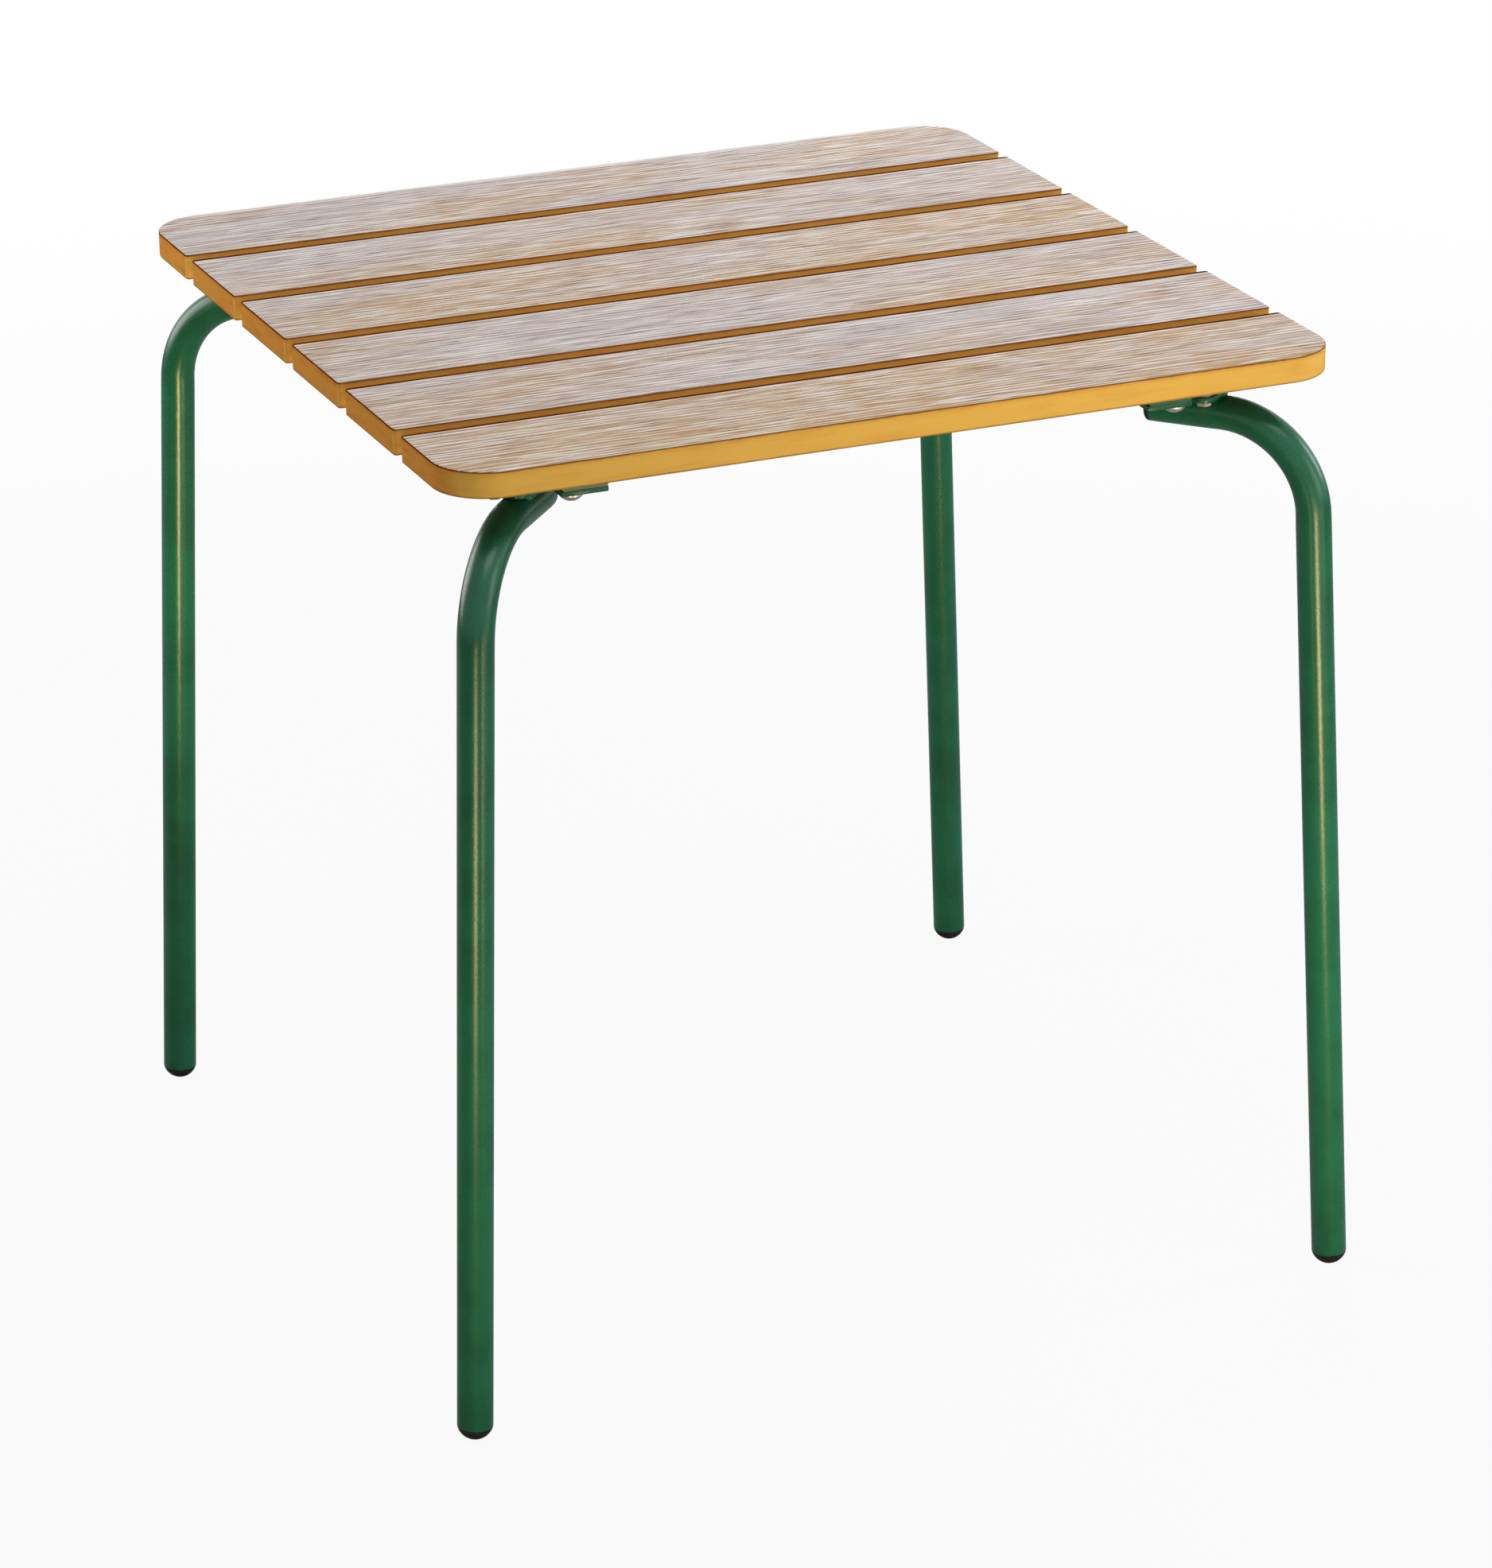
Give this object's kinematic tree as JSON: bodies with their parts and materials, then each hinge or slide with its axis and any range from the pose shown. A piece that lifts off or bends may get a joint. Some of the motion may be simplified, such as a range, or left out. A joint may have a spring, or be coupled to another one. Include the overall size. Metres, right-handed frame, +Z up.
{
  "type": "garden table",
  "caption": "Square slatted garden table with rounded corners, on steel cross bars and splayed legs of bent round tube with domed plastic feet.",
  "frame": {"origin": "on the ground, under the middle of the top", "axes": "+X to the right along the slats, +Y from the front edge to the back edge, +Z up"},
  "size_m": [0.7378, 0.7324, 0.744],
  "materials": {
    "slat_board": "brushed taupe grain on the top face, ochre on the edges, satin",
    "green_powder_coat": "fine textured powder coat, semi gloss",
    "black_plastic": "moulded, satin",
    "zinc_steel": "bright zinc plated",
    "brass_insert": "turned"
  },
  "bodies": {
    "root": {"slat_1": "slat_board", "slat_2": "slat_board", "slat_3": "slat_board", "slat_4": "slat_board", "slat_5": "slat_board", "slat_6": "slat_board", "cross_bar_left": "green_powder_coat", "cross_bar_right": "green_powder_coat", "bar_cap_front_left": "green_powder_coat", "leg_front_left": "green_powder_coat", "leg_plate_front_left": "green_powder_coat", "weld_front_left": "green_powder_coat", "foot_front_left": "black_plastic", "end_plug_front_left": "black_plastic", "bar_cap_front_right": "green_powder_coat", "leg_front_right": "green_powder_coat", "leg_plate_front_right": "green_powder_coat", "weld_front_right": "green_powder_coat", "foot_front_right": "black_plastic", "end_plug_front_right": "black_plastic", "bar_cap_back_left": "green_powder_coat", "leg_back_left": "green_powder_coat", "leg_plate_back_left": "green_powder_coat", "weld_back_left": "green_powder_coat", "foot_back_left": "black_plastic", "end_plug_back_left": "black_plastic", "bar_cap_back_right": "green_powder_coat", "leg_back_right": "green_powder_coat", "leg_plate_back_right": "green_powder_coat", "weld_back_right": "green_powder_coat", "foot_back_right": "black_plastic", "end_plug_back_right": "black_plastic", "domed_bolts": "zinc_steel", "slat_screws": "zinc_steel", "ear_screws": "zinc_steel", "ear_spacers": "zinc_steel", "threaded_inserts": "brass_insert"}
  },
  "joints": []
}
